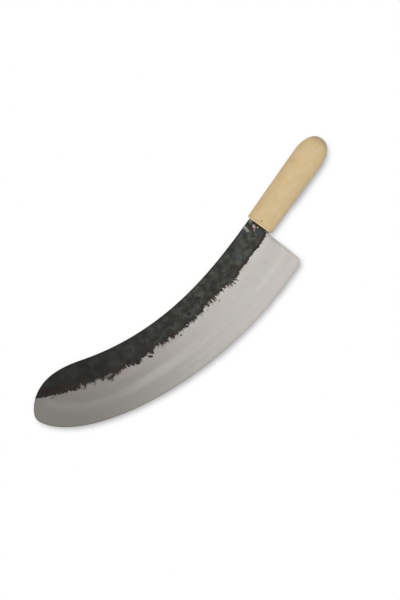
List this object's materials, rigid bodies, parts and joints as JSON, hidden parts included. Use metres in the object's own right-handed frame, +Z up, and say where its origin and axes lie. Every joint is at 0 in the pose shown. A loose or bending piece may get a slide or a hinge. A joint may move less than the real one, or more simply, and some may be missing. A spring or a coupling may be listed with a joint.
{
  "type": "mincing knife",
  "caption": "Forged mincing knife with a broad upswept blade, black forge skin along the spine, ground bevels down to a curved edge, and a plain pale wooden handle.",
  "frame": {"origin": "on the surface that the knife lies on, under the middle of its bounding box", "axes": "+X along the handle towards the butt, +Y towards the spine, +Z up from the surface that the knife lies on"},
  "size_m": [0.4724, 0.1666, 0.029],
  "materials": {
    "blade": "ground satin bevels, with rough black forge skin along the spine",
    "handle": "sanded pale hardwood, lightly oiled",
    "tang_bedding": "dark set resin",
    "tang_pin": "dull iron nail, cut flush"
  },
  "bodies": {
    "root": {"blade": "blade", "handle": "handle", "tang_bedding": "tang_bedding", "tang_pin": "tang_pin"}
  },
  "joints": []
}
